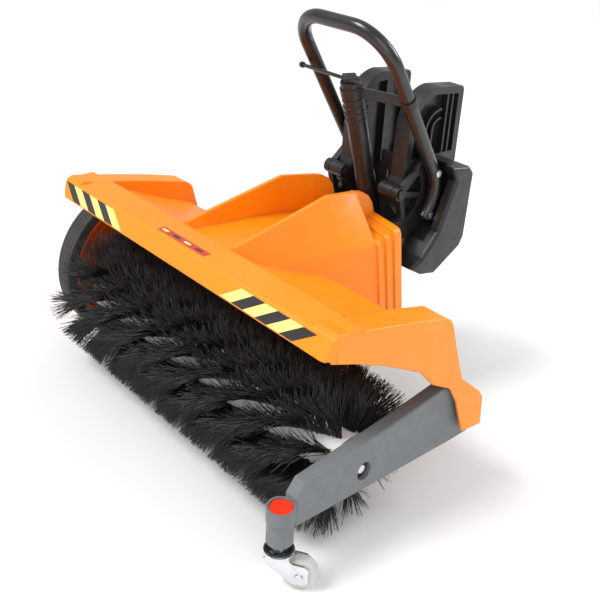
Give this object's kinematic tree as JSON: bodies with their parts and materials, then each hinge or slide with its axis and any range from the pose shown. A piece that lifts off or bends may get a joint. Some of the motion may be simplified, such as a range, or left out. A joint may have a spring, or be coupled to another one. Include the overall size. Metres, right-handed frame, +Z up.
{
  "type": "ride-on tractor front sweeper",
  "caption": "Child's ride-on tractor front sweeper: orange hood over a helical roller brush, side drive wheel, caster, lift handle and a tractor coupling.",
  "frame": {"origin": "bottom centre of the bounding box, on the floor that the wheels stand on", "axes": "+X along the brush towards the caster, -Y the sweeping front, +Y the tractor side, +Z up"},
  "size_m": [0.623, 0.4932, 0.531],
  "materials": {
    "orange": "satin moulded orange",
    "red": "satin moulded red",
    "wheel_orange": "satin moulded orange",
    "grey": "fine grained mid grey",
    "tyre": "matt dark grey",
    "bristle": "black nylon bristles",
    "white": "natural white",
    "pale_grey": "pale grey",
    "zinc": "bright zinc",
    "black_plastic": "satin black",
    "black_metal": "black powder coat"
  },
  "bodies": {
    "chassis": {"hood_shell": "orange", "hood_screws": "zinc", "side_arm": "grey", "arm_bolts": "zinc", "socket_cap": "red", "axle_bearing": "white", "drive_arm": "black_plastic", "drive_arm_screws": "zinc", "shaft_bush": "white", "wheel_axle": "zinc", "rear_carrier": "black_plastic", "rocker_left": "black_plastic", "rocker_right": "black_plastic", "rocker_bolts": "zinc", "handle_rivets": "zinc", "lift_handle": "black_metal", "cross_strap": "black_plastic", "guide_column": "black_plastic", "stand_pin": "zinc"},
    "brush": {"brush_core": "white", "core_plugs": "white", "bristles": "bristle", "brush_shaft": "zinc", "brush_pinion": "black_plastic"},
    "drive_wheel": {"wheel_tyre": "tyre", "wheel_disc": "wheel_orange", "wheel_gear": "black_plastic"},
    "caster": {"caster_stem": "zinc", "caster_fork": "zinc", "caster_race": "black_plastic", "caster_axle": "zinc"},
    "caster_roller": {"caster_wheel": "pale_grey"},
    "adapter": {"hook_box_left": "black_plastic", "hook_box_right": "black_plastic", "pod_left": "black_plastic", "pod_right": "black_plastic", "centre_plate": "black_plastic", "plate_screws": "zinc", "pivot_pins": "zinc"},
    "lock": {"lock_rod": "black_plastic", "release_lever": "black_metal"},
    "stand": {"parking_stand": "zinc"}
  },
  "joints": [
    {"name": "brush_spin", "type": "hinge", "parent": "chassis", "child": "brush", "pos_m": [0.0065, -0.1154, 0.101], "axis": [1, 0, 0], "continuous": true},
    {"name": "wheel_spin", "type": "hinge", "parent": "chassis", "child": "drive_wheel", "pos_m": [-0.2915, -0.05743, 0.12], "axis": [1, 0, 0], "continuous": true},
    {"name": "caster_swivel", "type": "hinge", "parent": "chassis", "child": "caster", "pos_m": [0.2745, -0.2284, 0.05], "axis": [0, 0, 1], "continuous": true},
    {"name": "caster_roll", "type": "hinge", "parent": "caster", "child": "caster_roller", "pos_m": [0.29289, -0.21297, 0.02], "axis": [-0.6428, 0.766, 0], "continuous": true},
    {"name": "lift_hinge", "type": "hinge", "parent": "chassis", "child": "adapter", "pos_m": [0.0065, 0.1316, 0.306], "axis": [1, 0, 0], "range_deg": [0, 20]},
    {"name": "lock_slide", "type": "slide", "parent": "chassis", "child": "lock", "axis": [0, -0.2961, 0.9552], "range_m": [0, 0.01], "stiffness_N_per_m": 150},
    {"name": "stand_fold", "type": "hinge", "parent": "chassis", "child": "stand", "pos_m": [0.0065, 0.1366, 0.15], "axis": [1, 0, 0], "range_deg": [-88, 0]}
  ],
  "couplings": [
    {"joint": "wheel_spin", "follows": "brush_spin", "ratio": -0.4878}
  ]
}
